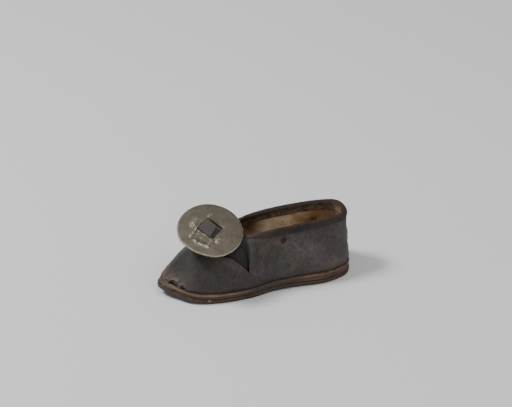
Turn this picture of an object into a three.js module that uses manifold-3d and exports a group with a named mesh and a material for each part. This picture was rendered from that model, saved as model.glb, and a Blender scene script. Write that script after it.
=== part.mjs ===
// A doll's leather shoe, made straight, so that it fits either foot: outsole, midsole that thickens under the
// heel, insole, one-piece upper with latchets, tongue, collar binding, and a round tin buckle held by a strap.
// Millimetres. +X runs from heel to toe, +Y is the wearer's left, +Z is up, and the floor is z = 0.
// The origin is on the floor, at the middle of the flat spot under the heel.
import * as THREE from 'three';
import Module from 'manifold-3d';

const wasm = await Module();
wasm.setup();

// Driving dimensions
const LENGTH = 76.5; // sole, heel to toe
const BALL_WIDTH = 28.6; // sole at its widest
const HEEL_HEIGHT = 25; // floor to the top of the collar binding at the back
const UPPER_WALL = 1.2;
const TONGUE_WALL = 0.8;
const LATCHET_WALL = 0.9; // the strap end that carries the buckle
const BINDING_WALL = 0.45;
const BINDING_DEPTH = 3.0; // how far the binding reaches down the collar, inside and out
const OUTSOLE_WALL = 1.7;
const MIDSOLE_WALL = 1.85; // at the ball
const HEEL_WEDGE = 0.9; // how much thicker the midsole is under the heel
const INSOLE_WALL = 0.9;
const TOE_SPRING = 3.1; // height of the outsole's tip above the floor
const ARCH_RISE = 0.4; // height of the outsole above the floor at the waist
const EDGE_ROUND = 0.5; // how far the outsole's lower edge is rounded in
const MIDSOLE_STEP = 0.2; // how far the midsole's edge stands back from the outsole's
const BUCKLE_DIAMETER = 24.6;
const BUCKLE_WALL = 0.6;
const BUCKLE_HOLE = 7.2; // side of the square hole
const BUCKLE_TURN = 42; // degrees, of the hole's sides from the shoe's axis
const BUCKLE_LEAN = 22; // degrees, down to the left
const BUCKLE_STAND = 2.6; // how far the buckle's middle stands off the strap
const BUCKLE_SHIFT = 2.7; // how far it has slipped to the left
const BUCKLE_FORWARD = 0.75; // how far it has slipped toward the toe
const TAB_SIDE = 5.8; // side of the leather tab in the hole
const TAB_PROUD = 1.3; // how far the tab stands above the buckle
const SEAM_GAP = 0.32; // between two curved pieces that meet

// Half of the shoe's form, a row for each section from the back of the heel to the tip of the toe, left side.
// Each row holds the four control points of a Bezier curve up the upper's outer face:
// foot, the edge that meets the sole: shares of LENGTH and of half of BALL_WIDTH;
// swell and rise, from the foot to the second point: shares of HEEL_HEIGHT, outward and up;
// shoulder, the third point, and collar, the last, under the binding: shares of LENGTH, of half of BALL_WIDTH
// and of HEEL_HEIGHT.
// welt is how far the sole stands out beyond the foot, as a share of MIDSOLE_WALL.
const SECTIONS = [
  // heel back
  { foot: [0.02, 0.0], swell: 0.05, rise: 0.2, shoulder: [0.031, 0.0, 0.68], collar: [0.027, 0.0, 0.995], welt: 0.4 },
  // heel corner
  { foot: [0.052, 0.6], swell: 0.05, rise: 0.2, shoulder: [0.055, 0.42, 0.68], collar: [0.049, 0.37, 0.995], welt: 0.42 },
  // heel side
  { foot: [0.17, 0.855], swell: 0.035, rise: 0.24, shoulder: [0.15, 0.62, 0.7], collar: [0.146, 0.515, 0.995], welt: 0.48 },
  // quarter
  { foot: [0.314, 0.828], swell: 0.03, rise: 0.26, shoulder: [0.288, 0.67, 0.7], collar: [0.275, 0.555, 0.985], welt: 0.5 },
  // waist
  { foot: [0.444, 0.83], swell: 0.035, rise: 0.24, shoulder: [0.425, 0.67, 0.74], collar: [0.405, 0.55, 0.97], welt: 0.52 },
  // latchet
  { foot: [0.582, 0.945], swell: 0.04, rise: 0.22, shoulder: [0.55, 0.69, 0.82], collar: [0.503, 0.5, 0.95], welt: 0.54 },
  // ball
  { foot: [0.725, 0.93], swell: 0.035, rise: 0.2, shoulder: [0.673, 0.56, 0.895], collar: [0.568, 0.35, 0.92], welt: 0.55 },
  // toe side
  { foot: [0.847, 0.775], swell: 0.03, rise: 0.17, shoulder: [0.745, 0.32, 0.932], collar: [0.598, 0.19, 0.912], welt: 0.6 },
  // toe corner
  { foot: [0.917, 0.425], swell: 0.02, rise: 0.16, shoulder: [0.778, 0.14, 0.947], collar: [0.609, 0.08, 0.911], welt: 0.72 },
  // toe cap
  { foot: [0.944, 0.19], swell: 0.015, rise: 0.16, shoulder: [0.781, 0.06, 0.952], collar: [0.6115, 0.035, 0.911], welt: 1.25 },
  // toe tip
  { foot: [0.955, 0.0], swell: 0.015, rise: 0.16, shoulder: [0.781, 0.0, 0.952], collar: [0.612, 0.0, 0.911], welt: 1.6 },
];
const HEEL_SEAT = 0.14; // share of LENGTH, where the flat spot under the heel has its middle
const FOREFOOT_SEAT = 0.64; // the same for the forefoot

// The upper's own coordinates: u goes round the shoe from the back of the heel (0) by the left side to the toe
// (0.5) and back, and t goes up from the foot (0) to the collar (1).
// The slit between vamp and latchets, left half: at each u, the vamp ends at one t and the latchets start at another.
const SLIT = [
  { u: 0.2515, vamp: 0.3, latchet: 0.3 },
  { u: 0.255, vamp: 0.335, latchet: 0.5 },
  { u: 0.262, vamp: 0.4, latchet: 0.62 },
  { u: 0.272, vamp: 0.465, latchet: 0.71 },
  { u: 0.288, vamp: 0.545, latchet: 0.755 },
  { u: 0.333, vamp: 0.62, latchet: 0.755 },
  { u: 0.387, vamp: 0.645, latchet: 0.72 },
  { u: 0.5, vamp: 0.655, latchet: 0.705 },
];
const TONGUE = { u: 0.241, below: 0.1, clear: 1.2 }; // where it starts, and how far it reaches under the vamp
const STRAP_END = { from: [0.342, 0.725], to: [0.648, 0.9] }; // u and t of its corners
const BUCKLE_SEAT = { u: 0.5, t: 0.778 }; // where the strap carries the buckle

const half = BALL_WIDTH / 2;
const smooth = (a, b, x) => THREE.MathUtils.smoothstep(x, a, b);

// Heights of the sole's faces above the floor, at a place along the shoe
const groundAt = (x) => {
  const share = x / LENGTH;
  const arch = ARCH_RISE * smooth(0.26, 0.36, share) * (1 - smooth(0.44, 0.56, share));
  const toe = Math.max(0, (share - 0.7) / 0.3);
  return arch + TOE_SPRING * toe * toe;
};
const outsoleTopAt = (x) => groundAt(x) + OUTSOLE_WALL;
const midsoleTopAt = (x) => {
  const wedge = HEEL_WEDGE * (1 - smooth(0.2, 0.42, x / LENGTH));
  return outsoleTopAt(x) + SEAM_GAP + MIDSOLE_WALL + wedge;
};

// A closed curve through one point of each row on the left, and the mirrored points on the right
const ring = (pointOf) => {
  const left = SECTIONS.map(pointOf);
  const right = left.slice(1, -1).reverse().map((p) => new THREE.Vector3(p.x, -p.y, p.z));
  return new THREE.CatmullRomCurve3([...left, ...right], true, 'catmullrom', 0.5);
};
const formPoint = ([along, side, up]) => new THREE.Vector3(along * LENGTH, side * half, up * HEEL_HEIGHT);
const footPoint = (row) => {
  const p = formPoint([...row.foot, 0]);
  return p.setZ(midsoleTopAt(p.x) + SEAM_GAP);
};
const footRing = ring(footPoint);
const footOutward = (u) => {
  const along = footRing.getTangent(u);
  return new THREE.Vector3(along.y, -along.x, 0).normalize().negate();
};
const swellRing = ring((row, index) => {
  const out = footOutward(index / (2 * (SECTIONS.length - 1))).multiplyScalar(row.swell * HEEL_HEIGHT);
  return footPoint(row).add(out).add(new THREE.Vector3(0, 0, row.rise * HEEL_HEIGHT));
});
const shoulderRing = ring((row) => formPoint(row.shoulder));
const collarRing = ring((row) => formPoint(row.collar).sub(new THREE.Vector3(0, 0, SEAM_GAP + BINDING_WALL)));
const weltRing = ring((row) => new THREE.Vector3(row.welt * MIDSOLE_WALL, 0, 0));

// The upper's outer face, its outward normal, and a point at a distance out from it
const wrap = (u) => ((u % 1) + 1) % 1;
const faceAt = (u, t) => {
  const share = [(1 - t) ** 3, 3 * t * (1 - t) ** 2, 3 * t * t * (1 - t), t ** 3];
  return [footRing, swellRing, shoulderRing, collarRing].reduce(
    (sum, curve, k) => sum.addScaledVector(curve.getPoint(wrap(u)), share[k]),
    new THREE.Vector3(),
  );
};
const normalAt = (u, t) => {
  const step = 1e-3;
  const along = faceAt(u + step, t).sub(faceAt(u - step, t));
  const up = faceAt(u, t + step).sub(faceAt(u, t - step));
  return up.cross(along).normalize();
};
const layerAt = (u, t, out) => faceAt(u, t).addScaledVector(normalAt(u, t), out);
const belowCollar = (u, depth) => {
  const reach = 3 * collarRing.getPoint(wrap(u)).distanceTo(shoulderRing.getPoint(wrap(u)));
  return 1 - depth / reach;
};

// An indexed geometry whose faces look outward: where its volume comes out negative, each face is turned round
const geometryOf = (points, faces) => {
  let volume = 0;
  for (let i = 0; i < faces.length; i += 3) {
    const [a, b, c] = [0, 1, 2].map((k) => points[faces[i + k]]);
    volume += a.dot(b.clone().cross(c));
  }
  const geometry = new THREE.BufferGeometry();
  geometry.setAttribute('position', new THREE.Float32BufferAttribute(points.flatMap((p) => p.toArray()), 3));
  geometry.setIndex(volume < 0 ? faces.reverse() : faces);
  return geometry;
};
const manifoldOf = (geometry) =>
  new wasm.Manifold(
    new wasm.Mesh({
      numProp: 3,
      vertProperties: geometry.getAttribute('position').array,
      triVerts: new Uint32Array(geometry.index.array),
    }),
  );
const geometryFrom = (manifold) => {
  const mesh = manifold.getMesh();
  const geometry = new THREE.BufferGeometry();
  geometry.setAttribute('position', new THREE.BufferAttribute(mesh.vertProperties, 3));
  geometry.setIndex(new THREE.BufferAttribute(mesh.triVerts, 1));
  return geometry;
};

// A closed solid from a sheet: the same points twice, one set for each face, joined round every free edge
const sheetSolid = (outer, inner, quads) => {
  const faces = [];
  const addQuad = (a, b, c, d) => faces.push(a, b, c, a, c, d);
  const edges = new Map();
  const n = outer.length;
  quads.forEach(([a, b, c, d]) => {
    addQuad(a, b, c, d);
    addQuad(d + n, c + n, b + n, a + n);
    [[a, b], [b, c], [c, d], [d, a]].forEach(([p, q]) => {
      if (!edges.delete(`${q},${p}`)) edges.set(`${p},${q}`, [p, q]);
    });
  });
  edges.forEach(([p, q]) => addQuad(q, p, p + n, q + n));
  return geometryOf([...outer, ...inner], faces);
};

// A patch of leather that follows the upper's face, between two distances out from it
const patchSolid = (columns, rows, uvAt, near, far) => {
  const uv = [];
  for (let j = 0; j <= rows; j++) for (let i = 0; i <= columns; i++) uv.push(uvAt(i / columns, j / rows));
  const quads = [];
  for (let j = 0; j < rows; j++) {
    for (let i = 0; i < columns; i++) {
      const a = j * (columns + 1) + i;
      quads.push([a, a + columns + 1, a + columns + 2, a + 1]);
    }
  }
  const layer = (out) => uv.map(([u, t]) => layerAt(u, t, out));
  return sheetSolid(layer(far), layer(near), quads);
};

// A solid of closed loops of as many points each, joined in order: capped at both ends, or joined end to end
const loopSolid = (loops, capped) => {
  const n = loops[0].length;
  const faces = [];
  const last = capped ? loops.length - 1 : loops.length;
  for (let k = 0; k < last; k++) {
    for (let i = 0; i < n; i++) {
      const [a, b] = [k * n + i, k * n + ((i + 1) % n)];
      const [c, d] = [a, b].map((v) => (v + n) % (n * loops.length));
      faces.push(a, b, d, a, d, c);
    }
  }
  const cap = (first, flip) => {
    for (let i = 0; i < n / 2; i++) {
      const corners = [i, i + 1, n - 1 - i, (n - i) % n].filter((v, k, all) => all.indexOf(v) === k);
      for (let k = 2; k < corners.length; k++) {
        const triangle = [corners[0], corners[k - 1], corners[k]].map((v) => first + v);
        faces.push(...(flip ? triangle : triangle.reverse()));
      }
    }
  };
  if (capped) {
    cap(0, false);
    cap((loops.length - 1) * n, true);
  }
  return geometryOf(loops.flat(), faces);
};

const leather = (color, roughness) => new THREE.MeshStandardMaterial({ color, roughness, metalness: 0 });
const GRAIN_LEATHER = leather(0x2e2926, 0.6);
const SOLE_LEATHER = leather(0x33281f, 0.75);
const RAW_LEATHER = leather(0x6b4c33, 0.8);
const LINING_LEATHER = leather(0x8a6a40, 0.85);
const TIN = new THREE.MeshStandardMaterial({ color: 0x8f887b, roughness: 0.45, metalness: 1 });

const shoe = new THREE.Group();
const addPiece = (name, geometry, material) => {
  const mesh = new THREE.Mesh(geometry, material);
  mesh.name = name;
  shoe.add(mesh);
};

// Columns round the shoe, which all its layers share: even behind the slit, and closer at the slit's ends in front
const REAR_COLUMNS = 18;
const FRONT_COLUMNS = 40;
const SLIT_END = SLIT[0].u;
const rearColumns = Array.from({ length: REAR_COLUMNS + 1 }, (_, i) => (SLIT_END * i) / REAR_COLUMNS);
const frontColumns = Array.from({ length: FRONT_COLUMNS - 1 }, (_, i) => {
  const side = (2 * (i + 1)) / FRONT_COLUMNS - 1; // from -1 at the slit's left end to 1 at its right end
  return 0.5 + (0.5 - SLIT_END) * Math.sign(side) * (1 - (1 - Math.abs(side)) ** 1.6);
});
const COLUMNS = [...rearColumns, ...frontColumns, ...rearColumns.slice(1).reverse().map((u) => 1 - u)];

// Sole layers and insole
const soleLoop = (inset, heightAt) =>
  COLUMNS.map((u) => {
    const p = footRing.getPoint(u).addScaledVector(footOutward(u), weltRing.getPoint(u).x - inset);
    return p.setZ(heightAt(p.x));
  });
addPiece(
  'outsole',
  loopSolid(
    [
      soleLoop(EDGE_ROUND, groundAt),
      soleLoop(0, (x) => groundAt(x) + EDGE_ROUND),
      soleLoop(0, outsoleTopAt),
    ],
    true,
  ),
  SOLE_LEATHER,
);
addPiece(
  'midsole',
  loopSolid(
    [soleLoop(MIDSOLE_STEP, (x) => outsoleTopAt(x) + SEAM_GAP), soleLoop(MIDSOLE_STEP, midsoleTopAt)],
    true,
  ),
  RAW_LEATHER,
);
const insoleLoop = (height) =>
  COLUMNS.map((u) => {
    const p = footRing.getPoint(u).addScaledVector(footOutward(u), -UPPER_WALL - SEAM_GAP);
    return p.setZ(midsoleTopAt(p.x) + SEAM_GAP + height);
  });
addPiece('insole', loopSolid([insoleLoop(0), insoleLoop(INSOLE_WALL)], true), LINING_LEATHER);

// Upper: one sheet, open below, at the collar, and along the slit that runs over the vamp from side to side
const VAMP_ROWS = 8;
const BAND_ROWS = 6;
const slitAt = (u, edge) => {
  const left = Math.min(u, 1 - u);
  const next = Math.max(1, SLIT.findIndex((row) => row.u >= left - 1e-9));
  const [a, b] = [SLIT[next - 1], SLIT[next]];
  return THREE.MathUtils.mapLinear(left, a.u, b.u, a[edge], b[edge]);
};
const upperSolid = () => {
  const outer = [];
  const inner = [];
  const index = new Map();
  const vertex = (i, row, t) => {
    const key = `${i},${row}`;
    if (!index.has(key)) {
      index.set(key, outer.length);
      outer.push(layerAt(COLUMNS[i], t, 0));
      inner.push(layerAt(COLUMNS[i], t, -UPPER_WALL));
    }
    return index.get(key);
  };
  const isFront = (i) => i > REAR_COLUMNS && i < REAR_COLUMNS + FRONT_COLUMNS;
  const edgeAt = (i, edge) => (isFront(i) ? slitAt(COLUMNS[i], edge) : SLIT[0][edge]);
  const vamp = (i, j) => vertex(i, j, (edgeAt(i, 'vamp') * j) / VAMP_ROWS);
  const latchet = (i, k) => {
    const bottom = edgeAt(i, 'latchet');
    return vertex(i, isFront(i) ? `latchet ${k}` : VAMP_ROWS + k, bottom + ((1 - bottom) * k) / BAND_ROWS);
  };
  const quads = [];
  COLUMNS.forEach((_, i) => {
    const next = (i + 1) % COLUMNS.length;
    const addRows = (corner, rows) => {
      for (let j = 0; j < rows; j++) {
        quads.push([corner(i, j), corner(i, j + 1), corner(next, j + 1), corner(next, j)]);
      }
    };
    addRows(vamp, VAMP_ROWS);
    addRows(latchet, BAND_ROWS);
  });
  return sheetSolid(outer, inner, quads);
};
addPiece('upper', upperSolid(), GRAIN_LEATHER);

// Tongue, under the slit
const tongueAt = (across, up) => {
  const u = THREE.MathUtils.lerp(TONGUE.u, 1 - TONGUE.u, across);
  const left = Math.max(SLIT_END, Math.min(u, 1 - u));
  const bottom = slitAt(left, 'vamp') - TONGUE.below;
  return [u, THREE.MathUtils.lerp(bottom, belowCollar(u, BINDING_DEPTH + TONGUE.clear), up)];
};
const TONGUE_FACE = -UPPER_WALL - SEAM_GAP;
addPiece('tongue', patchSolid(40, 8, tongueAt, TONGUE_FACE - TONGUE_WALL, TONGUE_FACE), GRAIN_LEATHER);

// Binding, folded over the collar: inside, over the edge, and outside
const bindingLoop = (u) => {
  const bottom = belowCollar(u, BINDING_DEPTH);
  const heights = [bottom, (1 + bottom) / 2, 1];
  const rise = faceAt(u, 1).sub(faceAt(u, 0.99)).normalize();
  const leg = (out) => heights.map((t) => layerAt(u, t, out));
  const over = (out, lift) => layerAt(u, 1, out).addScaledVector(rise, lift);
  const [near, far] = [SEAM_GAP, SEAM_GAP + BINDING_WALL];
  return [
    ...leg(far),
    over(0, far),
    over(-UPPER_WALL, far),
    ...leg(-UPPER_WALL - far).reverse(),
    ...leg(-UPPER_WALL - near),
    over(-UPPER_WALL, near),
    over(0, near),
    ...leg(near).reverse(),
  ];
};
addPiece('collar_binding', loopSolid(COLUMNS.map(bindingLoop), false), GRAIN_LEATHER);

// Buckle, its frame: leaning to the left over the strap, level lengthwise
const STRAP_TOP = SEAM_GAP + LATCHET_WALL;
const buckleFrame = new THREE.Matrix4()
  .makeRotationX(THREE.MathUtils.degToRad(-BUCKLE_LEAN))
  .setPosition(
    faceAt(BUCKLE_SEAT.u, BUCKLE_SEAT.t).add(
      new THREE.Vector3(BUCKLE_FORWARD, BUCKLE_SHIFT, STRAP_TOP + BUCKLE_STAND),
    ),
  )
  .multiply(new THREE.Matrix4().makeRotationZ(THREE.MathUtils.degToRad(BUCKLE_TURN)));

// Strap end over the latchets, with the tab that stands up from it through the buckle
const strapPatch = (near, far, margin) =>
  patchSolid(
    24,
    6,
    (across, up) => [
      THREE.MathUtils.lerp(STRAP_END.from[0] - margin, STRAP_END.to[0] + margin, across),
      THREE.MathUtils.lerp(STRAP_END.from[1] - margin, STRAP_END.to[1] + margin, up),
    ],
    near,
    far,
  );
const tabFoot = manifoldOf(strapPatch(-TAB_SIDE, SEAM_GAP + LATCHET_WALL / 2, 0.09));
const tabHeight = BUCKLE_WALL + TAB_PROUD + BUCKLE_STAND + STRAP_TOP + TAB_SIDE / 2;
const tabLoop = (height) =>
  [[1, 1], [-1, 1], [-1, -1], [1, -1]].map(([a, b]) =>
    new THREE.Vector3((a * TAB_SIDE) / 2, (b * TAB_SIDE) / 2, height).applyMatrix4(buckleFrame),
  );
const tabTop = BUCKLE_WALL / 2 + TAB_PROUD;
const tab = manifoldOf(loopSolid([tabLoop(tabTop - tabHeight), tabLoop(tabTop)], true));
addPiece(
  'latchet_end',
  geometryFrom(manifoldOf(strapPatch(SEAM_GAP, STRAP_TOP, 0)).add(tab.subtract(tabFoot))),
  GRAIN_LEATHER,
);

const disc = new THREE.Shape().absarc(0, 0, BUCKLE_DIAMETER / 2, 0, 2 * Math.PI);
const side = BUCKLE_HOLE / 2;
disc.holes.push(new THREE.Path([[side, side], [-side, side], [-side, -side], [side, -side]].map((p) => new THREE.Vector2(...p))));
addPiece(
  'buckle_disc',
  new THREE.ExtrudeGeometry(disc, { depth: BUCKLE_WALL, bevelEnabled: false, curveSegments: 64 })
    .translate(0, 0, -BUCKLE_WALL / 2)
    .applyMatrix4(buckleFrame),
  TIN,
);

shoe.position.x = -HEEL_SEAT * LENGTH;

export default shoe;
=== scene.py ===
import functools
import math

import bmesh
import bpy
from mathutils import Matrix, Vector, noise


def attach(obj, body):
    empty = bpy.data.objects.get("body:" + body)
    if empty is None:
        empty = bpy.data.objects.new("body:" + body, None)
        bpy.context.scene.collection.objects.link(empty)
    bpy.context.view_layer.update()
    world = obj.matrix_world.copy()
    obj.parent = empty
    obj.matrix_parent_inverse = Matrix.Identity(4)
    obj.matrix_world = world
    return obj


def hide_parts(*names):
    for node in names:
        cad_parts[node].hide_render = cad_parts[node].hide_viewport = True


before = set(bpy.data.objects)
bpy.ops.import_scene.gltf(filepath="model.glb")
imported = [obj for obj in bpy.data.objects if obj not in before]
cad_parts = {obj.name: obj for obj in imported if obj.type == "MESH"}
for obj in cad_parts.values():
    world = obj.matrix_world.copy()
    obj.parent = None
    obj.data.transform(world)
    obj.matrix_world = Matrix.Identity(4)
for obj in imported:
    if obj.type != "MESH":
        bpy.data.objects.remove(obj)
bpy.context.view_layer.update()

# Sizes in millimetres, and the buckle's turn and lean in degrees, all the same as the solids'. A mesh's places
# are turned to metres when it is made.
MM = 0.001
LENGTH = 76.5
BALL_WIDTH = 28.6
HEEL_HEIGHT = 25
UPPER_WALL = 1.2
TONGUE_WALL = 0.8
LATCHET_WALL = 0.9
BINDING_WALL = 0.45
BINDING_DEPTH = 3.0
OUTSOLE_WALL = 1.7
MIDSOLE_WALL = 1.85
HEEL_WEDGE = 0.9
INSOLE_WALL = 0.9
TOE_SPRING = 3.1
ARCH_RISE = 0.4
EDGE_ROUND = 0.5
BUCKLE_DIAMETER = 24.6
BUCKLE_WALL = 0.6
BUCKLE_TURN = 42
BUCKLE_LEAN = 22
BUCKLE_STAND = 2.6
BUCKLE_SHIFT = 2.7
BUCKLE_FORWARD = 0.75
TAB_PROUD = 1.3
SEAM_GAP = 0.32
HEEL_SEAT = 0.14
HALF = BALL_WIDTH / 2
# Shares of the length at which the arch, the heel's wedge and the toe's spring begin and end
ARCH_FROM = (0.26, 0.36)
ARCH_TO = (0.44, 0.56)
WEDGE_END = (0.2, 0.42)
SPRING_FROM = 0.7


def table(columns, *rows):
    """Rows whose values are named by the columns."""
    return [dict(zip(columns.split(), row)) for row in rows]


# Half of the shoe's form, from the back of the heel to the tip of the toe, as shares of the sizes above.
# A place on it is (u, t): u goes once round from the back of the heel, left first, and t up from the sole.
SECTIONS = table(
    "foot swell rise shoulder collar welt",
    ((0.02, 0.0), 0.05, 0.2, (0.031, 0.0, 0.68), (0.027, 0.0, 0.995), 0.4),
    ((0.052, 0.6), 0.05, 0.2, (0.055, 0.42, 0.68), (0.049, 0.37, 0.995), 0.42),
    ((0.17, 0.855), 0.035, 0.24, (0.15, 0.62, 0.7), (0.146, 0.515, 0.995), 0.48),
    ((0.314, 0.828), 0.03, 0.26, (0.288, 0.67, 0.7), (0.275, 0.555, 0.985), 0.5),
    ((0.444, 0.83), 0.035, 0.24, (0.425, 0.67, 0.74), (0.405, 0.55, 0.97), 0.52),
    ((0.582, 0.945), 0.04, 0.22, (0.55, 0.69, 0.82), (0.503, 0.5, 0.95), 0.54),
    ((0.725, 0.93), 0.035, 0.2, (0.673, 0.56, 0.895), (0.568, 0.35, 0.92), 0.55),
    ((0.847, 0.775), 0.03, 0.17, (0.745, 0.32, 0.932), (0.598, 0.19, 0.912), 0.6),
    ((0.917, 0.425), 0.02, 0.16, (0.778, 0.14, 0.947), (0.609, 0.08, 0.911), 0.72),
    ((0.944, 0.19), 0.015, 0.16, (0.781, 0.06, 0.952), (0.6115, 0.035, 0.911), 1.25),
    ((0.955, 0.0), 0.015, 0.16, (0.781, 0.0, 0.952), (0.612, 0.0, 0.911), 1.6),
)
# The slit between the vamp's edge below and the latchet's edge above, up to the toe's middle line
SLIT = table(
    "u vamp latchet",
    (0.2515, 0.3, 0.3),
    (0.255, 0.335, 0.5),
    (0.262, 0.4, 0.62),
    (0.272, 0.465, 0.71),
    (0.288, 0.545, 0.755),
    (0.333, 0.62, 0.755),
    (0.387, 0.645, 0.72),
    (0.5, 0.655, 0.705),
)
SLIT_END = SLIT[0]["u"]
SLIT_LOW = SLIT[0]["vamp"]
# The tongue's side edge, how far it reaches below the vamp's edge, and its way off the binding in millimetres
TONGUE = {"u": 0.241, "below": 0.1, "clear": 1.2}
STRAP_U = (0.342, 0.648)
STRAP_T = (0.725, 0.9)
BUCKLE_SEAT = (0.5, 0.778)


def lerp(a, b, share):
    return a + (b - a) * share


def smooth(a, b, x):
    x = min(1.0, max(0.0, (x - a) / (b - a)))
    return x * x * (3 - 2 * x)


def ground_at(x):
    share = x / LENGTH
    arch = ARCH_RISE * smooth(*ARCH_FROM, share) * (1 - smooth(*ARCH_TO, share))
    toe = max(0.0, (share - SPRING_FROM) / (1 - SPRING_FROM))
    return arch + TOE_SPRING * toe * toe


def outsole_top_at(x):
    return ground_at(x) + OUTSOLE_WALL


def midsole_top_at(x):
    wedge = HEEL_WEDGE * (1 - smooth(*WEDGE_END, x / LENGTH))
    return outsole_top_at(x) + SEAM_GAP + MIDSOLE_WALL + wedge


def form_point(shares):
    return Vector((shares[0] * LENGTH, shares[1] * HALF, shares[2] * HEEL_HEIGHT))


def foot_point(row):
    p = form_point((*row["foot"], 0))
    p.z = midsole_top_at(p.x) + SEAM_GAP
    return p


def ring(points):
    return points + [Vector((p.x, -p.y, p.z)) for p in reversed(points[1:-1])]


def ring_at(points, u):
    n = len(points)
    i, w = divmod((u % 1) * n, 1)
    p0, p1, p2, p3 = (points[(int(i) + k) % n] for k in (-1, 0, 1, 2))
    m1, m2 = (p2 - p0) / 2, (p3 - p1) / 2
    return p1 + m1 * w + (3 * (p2 - p1) - 2 * m1 - m2) * w * w + (2 * (p1 - p2) + m1 + m2) * w * w * w


FOOT = ring([foot_point(row) for row in SECTIONS])


def foot_outward(u):
    along = ring_at(FOOT, u + 1e-4) - ring_at(FOOT, u - 1e-4)
    return Vector((-along.y, along.x, 0)).normalized()


def swell_point(index):
    row = SECTIONS[index]
    out = foot_outward(index / (2 * (len(SECTIONS) - 1))) * row["swell"] * HEEL_HEIGHT
    return foot_point(row) + out + Vector((0, 0, row["rise"] * HEEL_HEIGHT))


SWELL = ring([swell_point(i) for i in range(len(SECTIONS))])
SHOULDER = ring([form_point(row["shoulder"]) for row in SECTIONS])
EDGE_DROP = Vector((0, 0, SEAM_GAP + BINDING_WALL))
COLLAR = ring([form_point(row["collar"]) - EDGE_DROP for row in SECTIONS])
WELT = ring([Vector((row["welt"] * MIDSOLE_WALL, 0, 0)) for row in SECTIONS])


def face_at(u, t):
    s = 1 - t
    return (
        ring_at(FOOT, u) * s**3
        + ring_at(SWELL, u) * 3 * t * s * s
        + ring_at(SHOULDER, u) * 3 * t * t * s
        + ring_at(COLLAR, u) * t**3
    )


def normal_at(u, t):
    step = 1e-3
    along = face_at(u + step, t) - face_at(u - step, t)
    up = face_at(u, t + step) - face_at(u, t - step)
    return up.cross(along).normalized()


def layer_at(u, t, out):
    return face_at(u, t) + normal_at(u, t) * out


def below_collar(u, depth):
    reach = 3 * (ring_at(COLLAR, u) - ring_at(SHOULDER, u)).length
    return 1 - depth / reach


def slit_at(u, edge):
    left = max(SLIT_END, min(u, 1 - u))
    for a, b in zip(SLIT, SLIT[1:]):
        if left <= b["u"]:
            return lerp(a[edge], b[edge], (left - a["u"]) / (b["u"] - a["u"]))
    return SLIT[-1][edge]


# Finishes


class Value:
    """A socket of a shader node. Arithmetic on it adds Math nodes to its finish."""

    def __init__(self, finish, socket):
        self.finish = finish
        self.socket = socket

    def math(self, operation, first, second):
        return self.finish.node("ShaderNodeMath", {"operation": operation}, {0: first, 1: second})

    def __add__(self, other):
        return self.math("ADD", self, other)

    def __radd__(self, other):
        return self.math("ADD", other, self)

    def __sub__(self, other):
        return self.math("SUBTRACT", self, other)

    def __rsub__(self, other):
        return self.math("SUBTRACT", other, self)

    def __mul__(self, other):
        return self.math("MULTIPLY", self, other)

    def over(self, low, high):
        """0 where the value is below low, 1 above high, and smooth in between."""
        inputs = {"Value": self, "From Min": low, "From Max": high}
        return self.finish.node("ShaderNodeMapRange", {"interpolation_type": "SMOOTHSTEP"}, inputs)


class Finish:
    """A material in the making: its nodes, and the shader that they feed."""

    def __init__(self, name, specular=0.5, **constants):
        self.material = bpy.data.materials.new(name)
        self.material.use_nodes = True
        self.tree = self.material.node_tree
        self.shader = self.tree.nodes["Principled BSDF"]
        self.shader.inputs["Specular IOR Level"].default_value = specular
        for socket, constant in constants.items():
            self.shader.inputs[socket.replace("_", " ").title()].default_value = constant
        metres = self.node("ShaderNodeTexCoord", output="Object")
        self.place = self.node("ShaderNodeVectorMath", {"operation": "SCALE"}, {0: metres, "Scale": 1 / MM})

    def node(self, kind, settings=None, inputs=None, output=0):
        made = self.tree.nodes.new(kind)
        for setting, value in (settings or {}).items():
            setattr(made, setting, value)
        for key, value in (inputs or {}).items():
            if isinstance(key, int):
                self.join(value, made.inputs[key])
            else:
                self.join(value, next(s for s in made.inputs if key in (s.identifier, s.name)))
        return Value(self, made.outputs[output])

    def join(self, value, socket):
        if isinstance(value, Value):
            self.tree.links.new(value.socket, socket)
        else:
            socket.default_value = value

    def made(self, color, roughness, normal):
        for socket, value in (("Base Color", color), ("Roughness", roughness), ("Normal", normal)):
            self.join(value, self.shader.inputs[socket])
        return self.material

    def mix(self, first, second, share):
        inputs = {"Factor_Float": share, "A_Color": first, "B_Color": second}
        return self.node("ShaderNodeMix", {"data_type": "RGBA"}, inputs, 2)

    def kept(self, name):
        """What a piece keeps at its vertices under this name."""
        return self.node("ShaderNodeAttribute", {"attribute_name": name}, output="Fac")

    def clouds(self, size, detail=3.0, roughness=0.55, place=None):
        """Noise from 0 to 1 with lumps of about this size in millimetres."""
        inputs = {"Vector": place or self.place, "Scale": 1 / size, "Detail": detail, "Roughness": roughness}
        return self.node("ShaderNodeTexNoise", None, inputs)

    def streaks(self, sizes, detail=4, roughness=0.6):
        """Noise whose lumps have a size in millimetres for each axis."""
        stretched = self.node("ShaderNodeVectorMath", {"operation": "DIVIDE"}, {0: self.place, 1: sizes})
        return self.clouds(1, detail, roughness, stretched)

    def pores(self, size):
        """From 0 in the middle of each small cell to about 1 between the cells."""
        return self.node("ShaderNodeTexVoronoi", None, {"Vector": self.place, "Scale": 1 / size})

    def bump(self, height, depth, normal=None):
        """A bump of this depth in millimetres, on top of another one."""
        inputs = {"Height": height, "Distance": depth * MM, "Strength": 1.0}
        if normal:
            inputs["Normal"] = normal
        return self.node("ShaderNodeBump", None, inputs)


def tone(red, green, blue):
    return (red, green, blue, 1)


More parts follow.
